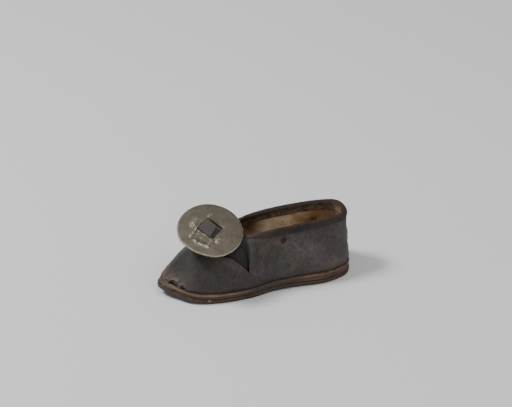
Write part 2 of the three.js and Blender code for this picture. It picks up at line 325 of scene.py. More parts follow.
BLACK_BROWN = tone(0.016, 0.012, 0.010)
LEATHER_DARK = tone(0.028, 0.0222, 0.0195)
LEATHER_MID = tone(0.064, 0.051, 0.0455)
LEATHER_WEAR_AND_HIGHLIGHT = tone(0.122, 0.103, 0.094)
LEATHER_TAB = tone(0.05, 0.0445, 0.043)
SOLE_DARK = tone(0.03, 0.022, 0.018)
SOLE_BROWN = tone(0.062, 0.045, 0.034)
LEATHER_BLUE = tone(0.02, 0.021, 0.026)
LEATHER_RED = tone(0.09, 0.042, 0.029)
LEATHER_RED_DARK = tone(0.024, 0.0105, 0.007)
LEATHER_DRAB = tone(0.038, 0.028, 0.021)
LEATHER_BROWN = tone(0.12, 0.065, 0.036)
LEATHER_FAWN = tone(0.3, 0.225, 0.165)
LEATHER_SCUFFED = tone(0.16, 0.138, 0.12)
RAW_DARK = tone(0.11, 0.065, 0.04)
RAW_PALE = tone(0.25, 0.17, 0.11)
RAW_EDGE_PALE = tone(0.3, 0.18, 0.11)
RAW_NOSE = tone(0.12, 0.098, 0.07)
RAW_OCHRE = tone(0.25, 0.135, 0.05)
FLESH_DARK = tone(0.36, 0.26, 0.19)
FLESH_TAN = tone(0.58, 0.38, 0.23)
LINING_DARK = tone(0.16, 0.085, 0.04)
LINING_TAN = tone(0.6, 0.42, 0.24)
LINING_PALE = tone(0.98, 0.86, 0.62)
TIN_DULL = tone(0.15, 0.129, 0.1)
TIN_HIGHLIGHT = tone(0.48, 0.43, 0.35)
TIN_STAIN = tone(0.09, 0.072, 0.052)


def grain_finish(name, dark, mid, has_masks, rough=0.4):
    """Dyed grain leather: mottled, with fine wrinkles up the form, painted darker in their troughs and paler
    on their crests as painted shade and highlight. Masks give its worn, brown and red places, the darker band
    below the collar, painted shade in spots, in its hollows and in the awl hole, and the scuffed edge of the
    tear."""
    f = Finish(name, specular=0.4, sheen_weight=0.06, sheen_roughness=0.5)
    broad = f.clouds(9, 3)
    mottled = f.clouds(1.8, 4, 0.6)
    fine = f.clouds(0.32, 3, 0.6)
    if has_masks:
        inputs = {"X": f.kept("round") * 430, "Y": f.kept("rise") * 10, "Z": f.clouds(5, 2) * 2}
        streaks = f.clouds(1, 3, 0.6, f.node("ShaderNodeCombineXYZ", None, inputs))
    else:
        streaks = f.streaks((0.7, 0.7, 2.2))
    pores = f.pores(0.55)
    color = f.mix(dark, mid, (broad * 0.45 + mottled * 0.25 + streaks * 0.3).over(0.36, 0.64))
    # Painted shade in the wrinkles' troughs, and painted highlight on their crests
    color = f.mix(color, BLACK_BROWN, streaks.over(0.5, 0.34) * 0.3)
    color = f.mix(color, LEATHER_WEAR_AND_HIGHLIGHT, streaks.over(0.54, 0.7) * 0.2)
    shine = broad * 0.08 + fine * 0.14 + streaks * 0.14
    if has_masks:
        worn = f.kept("worn") * (mottled * 0.9 + streaks * 0.7).over(0.5, 1.0)
        brown = f.kept("brown") * (mottled * 0.6 + fine * 0.6).over(0.38, 0.72)
        hollow_shade = f.kept("hollow_shade")
        # Painted shade in spots, and the darker band below the collar
        color = f.mix(color, BLACK_BROWN, f.kept("shade") * 0.55)
        color = f.mix(color, LEATHER_WEAR_AND_HIGHLIGHT, worn * 0.75)
        color = f.mix(color, LEATHER_BROWN, brown * 0.85)
        # Painted shade in the hollows
        color = f.mix(color, BLACK_BROWN, hollow_shade * 0.75)
        scuffed = f.kept("scuffed") * (mottled * 0.6 + fine * 0.5).over(0.46, 0.74)
        color = f.mix(color, LEATHER_SCUFFED, scuffed * 0.7)
        color = f.mix(color, LEATHER_RED, f.kept("red") * (mottled * 0.5 + fine * 0.6).over(0.4, 0.75) * 0.6)
        # Painted shade in the awl hole, dark red like the flesh
        color = f.mix(color, LEATHER_RED_DARK, f.kept("awl_shade").over(0.15, 0.42))
        shine = shine + worn * 0.1 + brown * 0.15
    coarse = f.bump(streaks + mottled * 0.3, 0.34)
    normal = f.bump(fine * 0.7 + pores.over(0.0, 0.5) * 0.3, 0.06, coarse)
    return f.made(color, shine + rough, normal)


def raw_finish(name, dark, pale, dyed=None):
    """Cut leather: fibres along the layers, pale where rubbed. On a dyed edge they show in brown places."""
    f = Finish(name, specular=0.25)
    layers = f.streaks((2.5, 2.5, 0.25))
    fibres = f.clouds(0.3, 3, 0.65)
    color = f.mix(dark, pale, (layers * 0.6 + fibres * 0.5).over(0.4, 0.75))
    if dyed:
        color = f.mix(dyed, color, f.kept("brown").over(0.2, 0.6))
    return f.made(color, 0.68 + fibres * 0.25, f.bump(layers * 0.6 + fibres * 0.6, 0.12))


def flesh_finish(name, dark, tan):
    """The leather's flesh side: dark and nappy, with tan where it is rubbed."""
    f = Finish(name, specular=0.2)
    broad = f.clouds(4, 3, 0.5)
    nap = f.clouds(0.28, 3, 0.7)
    color = f.mix(dark, tan, (broad * 0.8 + nap * 0.3).over(0.3, 0.85))
    return f.made(color, 0.72 + nap * 0.25, f.bump(nap, 0.1))


def lining_finish():
    """Golden tan leather: palest in the middle and high up, and brown near its ends."""
    f = Finish("quarter_lining", specular=0.25)
    broad = f.clouds(6, 2, 0.5)
    stains = f.streaks((2.6, 2.6, 1.6), 3, 0.55)
    nap = f.clouds(0.28, 3, 0.7)
    along = f.node("ShaderNodeSeparateXYZ", None, {0: f.place}, "X") + (broad - 0.5) * 6
    height = f.node("ShaderNodeSeparateXYZ", None, {0: f.place}, "Z")
    pale_span = along.over(0, 14) * (1 - along.over(18, 26))
    color = f.mix(LINING_DARK, LINING_TAN, broad.over(0.3, 0.6) * 0.5 + pale_span * 0.5)
    color = f.mix(color, LINING_PALE, pale_span * height.over(10, 13) * (0.45 + broad.over(0.35, 0.6) * 0.55))
    color = f.mix(color, LINING_DARK, stains.over(0.6, 0.72) * 0.6)
    return f.made(color, 0.6 + nap * 0.3, f.bump(nap * 0.5 + stains * 0.5, 0.12))


def binding_finish():
    """Thin dark leather, rubbed brown down its inside, with a painted dark red shadow line where it turns in.
    """
    f = Finish("binding_leather", specular=0.25)
    broad = f.clouds(5, 3)
    mottled = f.clouds(1.2, 4, 0.6)
    fine = f.clouds(0.3, 3, 0.6)
    creases = f.streaks((0.9, 0.9, 2.0))
    color = f.mix(BLACK_BROWN, LEATHER_DRAB, (broad * 0.5 + mottled * 0.5).over(0.34, 0.6))
    # Painted shadow: the dark red line under the collar's inner lip
    color = f.mix(color, LEATHER_RED_DARK, f.kept("lip_shadow") * 0.85)
    rubbed = f.mix(LEATHER_DRAB, LEATHER_FAWN, (mottled * 0.5 + creases * 0.3 + broad * 0.3).over(0.4, 0.66))
    color = f.mix(color, rubbed, f.kept("inside"))
    return f.made(color, 0.5 + fine * 0.15 + mottled * 0.12, f.bump(fine * 0.6 + creases, 0.1))


def welt_finish():
    """The midsole's edge: the rolled welt at its top is rubbed pale, the leather below it is dark, and the
    stitch holes are painted dark as shade."""
    f = Finish("welt_edge", specular=0.3)
    fibres = f.clouds(0.3, 3, 0.65)
    patches = f.clouds(4.5, 3, 0.55)
    layers = f.streaks((3.0, 3.0, 0.3))
    lower = f.kept("down") + (patches - 0.5) * 0.35
    band = lower.over(0.12, 0.42) * (1 - lower.over(0.66, 1.0))
    side = f.kept("round")
    heel = 1 - side.over(0.1, 0.17)
    waist = side.over(0.13, 0.165) * (1 - side.over(0.235, 0.275))
    nose = side.over(0.39, 0.43)
    base = f.mix(SOLE_DARK, RAW_DARK, (layers * 0.6 + patches * 0.5).over(0.3, 0.7))
    rubbed = f.mix(RAW_DARK, RAW_PALE, (fibres * 0.6 + patches * 0.5).over(0.34, 0.66))
    heel_tone = f.mix(RAW_DARK, RAW_OCHRE, (fibres * 0.4 + patches * 0.7).over(0.4, 0.7))
    rubbed = f.mix(rubbed, heel_tone, heel * 0.9)
    color = f.mix(base, rubbed, band)
    color = f.mix(color, SOLE_BROWN, waist * 0.9)
    drab = f.mix(SOLE_BROWN, RAW_NOSE, (patches * 0.8 + fibres * 0.4).over(0.45, 0.75))
    color = f.mix(color, drab, nose)
    color = f.mix(color, LEATHER_RED, heel * patches.over(0.52, 0.68) * 0.6)
    # Painted shade in the stitch holes
    color = f.mix(color, BLACK_BROWN, f.kept("pit") * 0.95)
    return f.made(color, 0.5 + fibres * 0.3, f.bump(fibres * 0.6 + layers * 0.5, 0.12))


def torn_finish():
    """The bared layer: fibrous, reddish above and drab below, with painted shade in its holes."""
    f = Finish("torn_layer", specular=0.2)
    fibres = f.clouds(0.35, 4, 0.65)
    patches = f.clouds(1.6, 3, 0.55)
    color = f.mix(SOLE_BROWN, RAW_NOSE, (fibres * 0.5 + patches * 0.7).over(0.42, 0.76))
    color = f.mix(color, LEATHER_BROWN, f.kept("upward") * patches.over(0.4, 0.6) * 0.7)
    color = f.mix(color, RAW_EDGE_PALE, fibres.over(0.56, 0.7) * 0.6)
    # Painted shade in the holes
    color = f.mix(color, BLACK_BROWN, f.kept("hole").over(0.15, 0.5))
    return f.made(color, 0.7 + fibres * 0.2, f.bump(fibres, 0.2))


def sole_finish():
    """The outsole: dark where it was dyed and dirty, with brown layers where its edge is scraped."""
    f = Finish("sole_edge", specular=0.3)
    layers = f.streaks((3.0, 3.0, 0.28))
    scrapes = f.clouds(2.2, 4, 0.65)
    fibres = f.clouds(0.35, 3, 0.65)
    color = f.mix(SOLE_DARK, SOLE_BROWN, (layers * 0.5 + scrapes * 0.2 + fibres * 0.4).over(0.3, 0.7))
    color = f.mix(color, RAW_DARK, (scrapes * 0.9 + layers * 0.3).over(0.52, 0.78) * 0.6)
    color = f.mix(color, RAW_PALE, f.kept("peg").over(0.3, 0.7))
    return f.made(color, 0.5 + fibres * 0.35, f.bump(fibres * 0.5 + layers * 0.6 + scrapes * 0.3, 0.14))


def tin_finish():
    """Dull tin: hazy, a little stained, with painted highlights, and smoother, on the ridges where it was bent
    round the hole, along the rim and at the hole's edge.
    """
    f = Finish("dull_tin", metallic=1.0)
    haze = f.clouds(3.5, 4, 0.55)
    spots = f.clouds(0.7, 3, 0.6)
    scratches = f.streaks((0.25, 2.0, 1.0), 3, 0.6)
    painted_highlight = f.kept("painted_highlight") * (spots * 0.7 + haze * 0.3).over(0.4, 0.58)
    color = f.mix(TIN_DULL, TIN_STAIN, (haze * 0.8 + spots * 0.4).over(0.58, 0.85) * 0.6)
    # Painted highlight
    color = f.mix(color, TIN_HIGHLIGHT, painted_highlight)
    normal = f.bump(haze * 0.5 + spots * 0.5 + scratches * 0.12, 0.1)
    return f.made(color, 0.52 + haze * 0.12 - painted_highlight * 0.24, normal)


GRAIN = grain_finish("grain_leather", LEATHER_DARK, LEATHER_MID, True)
# The tongue's near-black tones are partly its dark leather and partly painted shade from under the slit
TONGUE_GRAIN = grain_finish("tongue_grain", BLACK_BROWN, LEATHER_BLUE, False)
BINDING_GRAIN = binding_finish()
STRAP_GRAIN = grain_finish("strap_leather", BLACK_BROWN, LEATHER_MID, False)
TAB_GRAIN = grain_finish("tab_leather", LEATHER_MID, LEATHER_TAB, False, 0.62)
UPPER_EDGE = raw_finish("upper_edge", LEATHER_BROWN, RAW_EDGE_PALE, BLACK_BROWN)
RAW_EDGE = raw_finish("raw_edge", BLACK_BROWN, LEATHER_BROWN)
TORN = torn_finish()
LINING = lining_finish()
INSOLE_LEATHER = flesh_finish("insole_leather", LINING_DARK, LINING_TAN)
FLESH = flesh_finish("flesh_side", FLESH_DARK, FLESH_TAN)
SOLE_EDGE = sole_finish()
WELT_EDGE = welt_finish()
TIN = tin_finish()


# Pieces


def place(p):
    return Vector(((p.x - HEEL_SEAT * LENGTH) * MM, p.y * MM, p.z * MM))


SHOE_MIDDLE = place(Vector((LENGTH / 2, 0, 10)))


def mesh_of(name, bm):
    mesh = bpy.data.meshes.new(name)
    bm.to_mesh(mesh)
    bm.free()
    return mesh


def add(name, data):
    made = bpy.data.objects.new(name, data)
    bpy.context.collection.objects.link(made)
    return made


def grid(columns, rows, point_at, layers=()):
    """A grid over 0..1 across and up, each vertex moved to its point. A layer is a name and a function of the
    same two shares, kept at the vertices."""
    bm = bmesh.new()
    bmesh.ops.create_grid(bm, x_segments=columns, y_segments=rows, size=0.5)
    kept = [(bm.verts.layers.float.new(name), value_at) for name, value_at in layers]
    for v in bm.verts:
        across, up = v.co.x + 0.5, v.co.y + 0.5
        for layer, value_at in kept:
            v[layer] = value_at(across, up)
        v.co = place(point_at(across, up))
    return bm


def join(parts):
    """One bmesh of several that have the same layers."""
    whole = bmesh.new()
    for part in parts:
        mesh = mesh_of("part", part)
        whole.from_mesh(mesh)
        bpy.data.meshes.remove(mesh)
    return whole


def piece(name, bm, materials, replaces=None):
    bmesh.ops.remove_doubles(bm, verts=bm.verts, dist=0.004 * MM)
    bmesh.ops.dissolve_degenerate(bm, edges=bm.edges, dist=0.002 * MM)
    bmesh.ops.recalc_face_normals(bm, faces=bm.faces)
    if sum(f.normal.dot(f.calc_center_median() - SHOE_MIDDLE) * f.calc_area() for f in bm.faces) < 0:
        bmesh.ops.reverse_faces(bm, faces=bm.faces)
    mesh = mesh_of(name, bm)
    for material in materials:
        mesh.materials.append(material)
    mesh.polygons.foreach_set("use_smooth", [True] * len(mesh.polygons))
    made = add(name, mesh)
    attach(made, "root")
    if replaces:
        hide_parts(replaces)
    return made


def wall(made, thickness, inner=0, rim=0):
    """Gives a sheet its thickness, inward, with other materials inside and on its cut edge."""
    solid = made.modifiers.new("wall", "SOLIDIFY")
    solid.thickness = thickness * MM
    solid.offset = -1
    solid.material_offset = inner
    solid.material_offset_rim = rim


def soften(made, width, segments=2):
    bevel = made.modifiers.new("edge", "BEVEL")
    bevel.width = width * MM
    bevel.segments = segments
    bevel.limit_method = "ANGLE"
    bevel.angle_limit = math.radians(50)


def bell(distance, width):
    return math.exp(-((distance / width) ** 2))


def ruffle(p, size, seed=0):
    """Soft noise from -1 to 1 at a place in millimetres, whose lumps are about the given size."""
    return noise.noise(Vector((p.x / size + seed * 7.3, p.y / size, p.z / size)))


# How uneven the pieces are: the height and size of their lumps in millimetres, and a seed
LUMPS = {
    "upper": [(0.12, 5.5, 0), (0.05, 2.2, 1), (0.03, 0.9, 2)],
    "torn_layer": [(0.4, 1.9, 61), (0.12, 0.7, 62)],
    "tongue": [(0.12, 2.6, 5)],
    "binding": [(0.09, 2.4, 8), (0.04, 1.0, 9)],
    "lining": [(0.16, 4.5, 71), (0.06, 1.5, 72)],
    "outsole": [(0.1, 3.0, 11), (0.07, 0.8, 12)],
    "midsole": [(0.1, 2.2, 14), (0.07, 0.9, 15)],
    "midsole_nose": [(0.25, 2.2, 14), (0.16, 0.9, 15)],
    "insole": [(0.04, 2, 21)],
    "disc": [(0.07, 3.2, 31), (0.18, 9, 32)],
    "strap": [(0.12, 2.4, 41)],
}


def uneven(p, name):
    return sum(height * ruffle(p, size, seed) for height, size, seed in LUMPS[name])


def left_of(u):
    """How far round from the back of the heel to the toe, the same on both sides."""
    u = u % 1
    return min(u, 1 - u)


# Creases in the upper, each a line through places (u, t) on its left side, with its width, and its height in
# millimetres, negative for a trough. The right side has the same ones, weaker.
CREASES = table(
    "line width height",
    # the vamp, beside the slit
    ([(0.268, 0.36), (0.29, 0.48), (0.315, 0.56)], 1.3, 0.3),
    ([(0.262, 0.3), (0.283, 0.4), (0.31, 0.49)], 1.0, -0.16),
    # below the slit's end, slanting down and back
    ([(0.258, 0.33), (0.24, 0.2), (0.222, 0.06)], 0.9, -0.22),
    ([(0.249, 0.33), (0.232, 0.22), (0.212, 0.1)], 0.8, 0.15),
    ([(0.263, 0.3), (0.255, 0.18), (0.243, 0.06)], 0.7, -0.14),
    # the fold where the quarter turns up to the latchet
    ([(0.251, 0.42), (0.253, 0.6), (0.262, 0.78)], 0.9, 0.28),
    ([(0.241, 0.36), (0.24, 0.55), (0.243, 0.75)], 0.9, -0.2),
    ([(0.232, 0.32), (0.229, 0.5), (0.228, 0.66)], 0.8, 0.13),
    ([(0.222, 0.3), (0.218, 0.46), (0.216, 0.6)], 0.8, -0.12),
    # the quarter
    ([(0.205, 0.2), (0.2, 0.38), (0.198, 0.5)], 1.1, -0.12),
    ([(0.17, 0.62), (0.13, 0.66), (0.1, 0.7)], 1.6, -0.12),
    ([(0.19, 0.66), (0.15, 0.56), (0.12, 0.5)], 2.2, 0.18),
    ([(0.14, 0.25), (0.1, 0.2), (0.06, 0.2)], 1.5, 0.16),
    # round the heel
    ([(0.075, 0.42), (0.03, 0.4), (0.0, 0.4)], 1.2, -0.3),
    ([(0.07, 0.62), (0.03, 0.6), (0.0, 0.6)], 1.0, 0.16),
    ([(0.075, 0.76), (0.04, 0.74), (0.0, 0.74)], 0.8, -0.13),
    ([(0.08, 0.14), (0.04, 0.12), (0.0, 0.12)], 1.2, 0.3),
    # the vamp's side, and its ridge
    ([(0.34, 0.2), (0.35, 0.33), (0.37, 0.45)], 1.6, -0.14),
    ([(0.41, 0.2), (0.42, 0.4), (0.44, 0.55)], 2.4, -0.18),
    ([(0.3, 0.04), (0.35, 0.06), (0.37, 0.1)], 1.0, 0.14),
)


# Rows of short upright creases, spread unevenly between two places round the shoe
FINE_CREASES = table(
    "first last bottom top count width height",
    (0.318, 0.39, 0.26, 0.56, 16, 0.42, -0.075),
    (0.27, 0.33, 0.08, 0.38, 14, 0.42, -0.085),
    (0.2, 0.25, 0.22, 0.6, 12, 0.42, -0.07),
    (0.1, 0.2, 0.1, 0.45, 16, 0.45, -0.045),
)


def add_fine_creases(seed, first, last, bottom, top, count, width, height):
    for i in range(count):
        place_in = Vector((i * 1.7, seed * 3.1, 0.4))
        across = (i + 0.5 + 0.45 * noise.noise(place_in)) / count
        u = lerp(first, last, across)
        low = lerp(bottom, top, 0.25 + 0.25 * noise.noise(place_in * 1.9))
        high = lerp(bottom, top, 0.75 + 0.25 * noise.noise(place_in * 2.7))
        lean = 0.006 * noise.noise(place_in * 3.3)
        line = [(u, low), (u + lean, (low + high) / 2), (u - lean, high)]
        CREASES.append({"line": line, "width": width, "height": height * (0.6 + 0.5 * ((i * 7) % 3) / 2)})


for seed, row in enumerate(FINE_CREASES, 1):
    add_fine_creases(seed, **row)

RIGHT_SIDE_SHARE = 0.75


def crease_lines():
    lines = []
    for crease in CREASES:
        for right_side in (False, True):
            points = [face_at(1 - u if right_side else u, t) for u, t in crease["line"]]
            middle = sum(points, Vector()) / len(points)
            reach = max((p - middle).length for p in points) + 2.5 * crease["width"]
            height = crease["height"] * (RIGHT_SIDE_SHARE if right_side else 1)
            lines.append((points, middle, reach, crease["width"], height))
    return lines


CREASE_LINES = crease_lines()


def along_line(p, points):
    """How far a place is from a line through points, and how far along the line it lies."""
    nearest, where = 1e9, 0
    for k, (a, b) in enumerate(zip(points, points[1:])):
        run = b - a
        w = min(1, max(0, (p - a).dot(run) / run.length_squared))
        distance = (a + run * w - p).length
        if distance < nearest:
            nearest, where = distance, (k + w) / (len(points) - 1)
    return nearest, where


def on_line(points, share):
    """The point at this share of the way along a line through points."""
    place_on = share * (len(points) - 1)
    k = min(int(place_on), len(points) - 2)
    return points[k].lerp(points[k + 1], place_on - k)


def crease_relief(p):
    raised = 0
    for points, middle, reach, width, height in CREASE_LINES:
        if (p - middle).length_squared < reach * reach:
            distance, where = along_line(p, points)
            fade = smooth(-0.12, 0.3, where) * smooth(-0.12, 0.3, 1 - where)
            raised += height * fade * bell(distance, width)
    return raised


AWL_HOLE = face_at(0.187, 0.772)
AWL_DEPTH = 0.9
AWL_WIDTH = 1.05
AWL_HEIGHT = 1.35


def awl_hole(p):
    """How deep in the hole of an awl a place is, from 0 to 1. The hole is slanted, like a comma."""
    off = p - AWL_HOLE
    across, up = off.x + 0.45 * off.z, off.z - 0.35 * off.x
    return bell(across, AWL_WIDTH) * bell(up, AWL_HEIGHT) * bell(off.y, 4)


def upper_relief(p, creased):
    return uneven(p, "upper") + creased - AWL_DEPTH * awl_hole(p)


def collar_band(left, t):
    """1 on the darker band below the collar, whose lower edge rises toward the back of the heel."""
    edge = lerp(1.0, 0.8, smooth(0.06, 0.15, left)) - 0.08 * smooth(0.2, 0.24, left)
    return smooth(edge - 0.04, edge + 0.04, t)


# Where the vamp's lower edge is torn away at the toe, how far that reaches round, and how high up the vamp
TEARS = table(
    "u reach t",
    (0.412, 0.03, 0.125),
    (0.455, 0.03, 0.075),
    (0.382, 0.012, 0.09),
    (0.5, 0.03, 0.05),
)


def tear_at(left):
    torn = max(tear["t"] * bell(left - tear["u"], tear["reach"]) for tear in TEARS)
    ragged = noise.noise(Vector((left * 110, 0.3, 0))) + 0.35 * noise.noise(Vector((left * 450, 1.3, 0)))
    return max(0, torn * (1 + 0.3 * ragged))


# Masks on the upper: spots at places (u, t) on the left, their size in millimetres, and how strong they are
SPOTS = {
    "worn": [
        ((0.16, 0.66), 6.0, 0.6),
        ((0.13, 0.5), 5.0, 0.35),
        ((0.44, 0.12), 1.6, 0.6),
        ((0.4, 0.15), 1.8, 0.9),
        ((0.425, 0.12), 1.4, 1.0),
        ((0.38, 0.12), 1.2, 0.8),
        ((0.235, 0.3), 3.5, 0.35),
        ((0.17, 0.25), 5.0, 0.45),
        ((0.09, 0.15), 4.0, 0.4),
        ((0.29, 0.2), 4.0, 0.3),
        ((0.03, 0.55), 4.0, 0.25),
    ],
    "brown": [
        ((0.155, 0.25), 2.6, 0.3),
        ((0.205, 0.78), 2.6, 0.2),
        ((0.23, 0.88), 3.0, 0.4),
        ((0.09, 0.12), 2.2, 0.25),
        ((0.33, 0.56), 3.2, 0.35),
        ((0.45, 0.08), 2.4, 0.3),
        ((0.49, 0.06), 2.4, 0.4),
        ((0.27, 0.36), 1.6, 0.5),
    ],
    # Painted shade: spots darkened to stand in for shade, as on the vamp's facet toward the key lamp and low
    # on the vamp
    "shade": [
        ((0.335, 0.12), 6.5, 0.8),
        ((0.475, 0.3), 4.5, 0.75),
        ((0.29, 0.22), 4.0, 0.35),
        ((0.255, 0.12), 4.0, 0.3),
    ],
    "red": [
        ((0.203, 0.765), 1.5, 0.3),
        ((0.133, 0.27), 1.8, 0.7),
        ((0.095, 0.1), 2.0, 0.5),
        ((0.25, 0.42), 1.4, 0.4),
    ],
}
SPOT_PLACES = {
    name: [(face_at(u, t), size, amount) for (left, t), size, amount in spots for u in (left, 1 - left)]
    for name, spots in SPOTS.items()
}


def spots_at(name, u, t):
    p = relief_at(u, t)[0]
    return sum(amount * bell((p - middle).length, size) for middle, size, amount in SPOT_PLACES[name])


# Upper: the quarters behind the slit, the vamp below it and the latchets above it, joined where they meet
VAMP_ROWS = 34
BAND_ROWS = 24
SIDE_COLUMNS = 300


def quarter_uv(across, up):
    rows = up * (VAMP_ROWS + BAND_ROWS)
    if rows <= VAMP_ROWS:
        t = SLIT_LOW * rows / VAMP_ROWS
    else:
        t = lerp(SLIT_LOW, 1, (rows - VAMP_ROWS) / BAND_ROWS)
    return lerp(-SLIT_END, SLIT_END, across), t


def vamp_uv(across, up):
    u = lerp(SLIT_END, 1 - SLIT_END, across)
    low = tear_at(left_of(u))
    if across in (0, 1):
        low = 0
    top = slit_at(u, "vamp")
    return u, lerp(low, top, up)


def latchet_uv(across, up):
    u = lerp(SLIT_END, 1 - SLIT_END, across)
    return u, lerp(slit_at(u, "latchet"), 1, up)


VAMP_LIFT = 0.2
LATCHET_ROLL = 1.25
ON_EDGE = 1e-6


def on_vamp(u, t):
    return t <= slit_at(u, "vamp") + ON_EDGE


def slit_roll(u, t):
    """How far the leather stands off beside the slit: the vamp's raw edge lifts, the latchet's rolls in."""
    left = left_of(u)
    if left <= SLIT_END:
        return 0
    opening = smooth(SLIT_END, SLIT_END + 0.02, left)
    if on_vamp(u, t):
        return opening * VAMP_LIFT * bell(slit_at(u, "vamp") - t, 0.05)
    roll_size = lerp(0.1, 0.05, smooth(0.3, 0.36, left))
    return -opening * LATCHET_ROLL * bell(t - slit_at(u, "latchet"), roll_size)


# The vamp's lower edge flares out over the tip of the sole, curls where it is torn, and sits down on the welt
# elsewhere.
FLARE = 1.5
TEAR_CURL = 0.3
WELT_SEAT = 0.26


def toe_flare(left, t):
    return FLARE * bell(t, 0.13) * bell(0.5 - left, 0.075)


@functools.lru_cache(maxsize=None)
def relief_at(u, t):
    """The place on the smooth face, and how far the creases raise it there."""
    p = face_at(u, t)
    return p, crease_relief(p)


def upper_point(u, t):
    p, creased = relief_at(u, t)
    left = left_of(u)
    torn = tear_at(left)
    is_torn = min(1, torn / 0.05)
    curl = TEAR_CURL * bell(t - torn, 0.03) * is_torn
    seat = WELT_SEAT * bell(t, 0.025) * (1 - is_torn)
    made = layer_at(u, t, upper_relief(p, creased) + slit_roll(u, t) + curl)
    made.z -= seat
    return made + foot_outward(u) * toe_flare(left, t)


def upper_part(rows, uv_at):
    def worn(u, t):
        return min(1, spots_at("worn", u, t) + max(0, relief_at(u, t)[1]) * 1.2)

    def scuffed(u, t):
        torn = tear_at(left_of(u))
        return min(1, torn / 0.04) * bell(t - torn - 0.02, 0.035)

    def brown(u, t):
        edge = 0
        if left_of(u) > SLIT_END and on_vamp(u, t):
            edge = 1.2 * bell(slit_at(u, "vamp") - t, 0.018)
        return min(1, spots_at("brown", u, t) + edge + 0.5 * bell(t, 0.03))

    # Painted shade: dark in the creases' troughs, in the groove along the upper's lower edge and in the
    # latchet's rolled-in fold
    def hollow_shade(u, t):
        rolled = 0
        if left_of(u) > SLIT_END and not on_vamp(u, t):
            rolled = 0.9 * bell(t - slit_at(u, "latchet"), 0.08)
        return min(1, max(0, -relief_at(u, t)[1]) * 2.2 + 0.3 * bell(t, 0.02) + rolled)

    kept = {
        "round": lambda u, t: left_of(u),
        "rise": lambda u, t: t,
        "worn": worn,
        "scuffed": scuffed,
        "brown": brown,
        "hollow_shade": hollow_shade,
        "shade": lambda u, t: max(collar_band(left_of(u), t), spots_at("shade", u, t)),
        "red": lambda u, t: min(1, spots_at("red", u, t)),
        "awl_shade": lambda u, t: awl_hole(relief_at(u, t)[0]),
    }

    def over_grid(value_at):
        return lambda across, up: value_at(*uv_at(across, up))

    layers = [(name, over_grid(value_at)) for name, value_at in kept.items()]
    return grid(SIDE_COLUMNS, rows, over_grid(upper_point), layers)


UPPER_PARTS = ((VAMP_ROWS + BAND_ROWS, quarter_uv), (VAMP_ROWS, vamp_uv), (BAND_ROWS, latchet_uv))
upper = piece(
    "upper_leather",
    join([upper_part(rows, uv_at) for rows, uv_at in UPPER_PARTS]),
    [GRAIN, FLESH, UPPER_EDGE],
    "upper",
)
wall(upper, UPPER_WALL, 1, 2)
soften(upper, 0.14)


def sole_outline(u, inset):
    return ring_at(FOOT, u) + foot_outward(u) * (ring_at(WELT, u).x - inset)


# The tip of the sole is worn down and back, over these shares of the length
NOSE = (0.93, 0.985)
NOSE_WEAR = 0.8
NOSE_INSET = 0.9


def tip_wear(x):
    return smooth(*NOSE, x / LENGTH)


def worn_top_at(x):
    return midsole_top_at(x) - NOSE_WEAR * tip_wear(x)


# The layer that the torn toe lays bare: from over the sole's edge up under the vamp, lumpy, with holes in it
TORN_FROM, TORN_TO = 0.36, 0.64
TORN_WALL = 0.35
TORN_HOLE_DEPTH = 1.2
TORN_HOLES = table(
    "at size",
    ((0.424, 0.42), (1.5, 0.6)),
    ((0.405, 0.36), (1.0, 0.5)),
    ((0.38, 0.44), (1.0, 0.4)),
)


def torn_form(u, up):
    """From the sole's edge (0) over it and up under the vamp (1)."""
    strength = smooth(0, 0.05, u - TORN_FROM) * smooth(0, 0.05, TORN_TO - u)
    edge = sole_outline(u, lerp(1.2, 0.12, strength))
    edge += foot_outward(u) * -NOSE_INSET * tip_wear(edge.x)
    edge.z = worn_top_at(edge.x) - 0.3 * (1 - strength)
    rows = [
        edge + Vector((0, 0, -1.4 * strength)) + foot_outward(u) * 0.15 * strength,
        edge + Vector((0, 0, 0.15)) + foot_outward(u) * -0.1,
        layer_at(u, 0.02, 0.25 + 0.75 * toe_flare(left_of(u), 0)),
        layer_at(u, 0.1, -0.5 + 0.5 * toe_flare(left_of(u), 0)),
        layer_at(u, 0.24, -0.75),
    ]
    return on_line(rows, up)


TORN_PLACES = [
    (torn_form(u, hole["at"][1]), hole["size"])
    for hole in TORN_HOLES
    for u in (hole["at"][0], 1 - hole["at"][0])
]


def torn_depth(p):
    """How deep in a hole of the bared layer a place is, from 0 to 1."""
    deep = 0
    for middle, (wide, high) in TORN_PLACES:
        off = p - middle
        deep = max(deep, bell(math.hypot(off.x, off.y), wide) * bell(off.z, high))
    return deep


def torn_point(across, up):
    u = lerp(TORN_FROM, TORN_TO, across)
    p = torn_form(u, up)
    ends = smooth(0, 0.06, across) * smooth(0, 0.06, 1 - across)
    lumps = uneven(p, "torn_layer") * bell(up - 0.35, 0.4)
    out = (lumps - TORN_HOLE_DEPTH * torn_depth(p)) * ends
    return p + foot_outward(u) * out * 0.6 + Vector((0, 0, out * 0.7))


torn = piece(
    "torn_toe_layer",
    grid(
        190,
        32,
        torn_point,
        [
            ("hole", lambda across, up: torn_depth(torn_form(lerp(TORN_FROM, TORN_TO, across), up))),
            ("upward", lambda across, up: smooth(0.3, 0.5, up)),
        ],
    ),
    [TORN],
)
wall(torn, TORN_WALL)


# Tongue, under the slit


def tongue_point(across, up):
    u = lerp(TONGUE["u"], 1 - TONGUE["u"], across)
    bottom = slit_at(u, "vamp") - TONGUE["below"]
    t = lerp(bottom, below_collar(u, BINDING_DEPTH + TONGUE["clear"]), up)
    p = face_at(u, t)
    return layer_at(u, t, -UPPER_WALL - SEAM_GAP + uneven(p, "tongue"))


tongue = piece(
    "tongue_leather",
    grid(120, 22, tongue_point),
    [TONGUE_GRAIN, RAW_EDGE],
    "tongue",
)
wall(tongue, TONGUE_WALL, 1, 1)
soften(tongue, 0.12)

# Binding, folded over the collar: outside, over the edge, inside, and back under itself
OUTER_LEG = 2.3


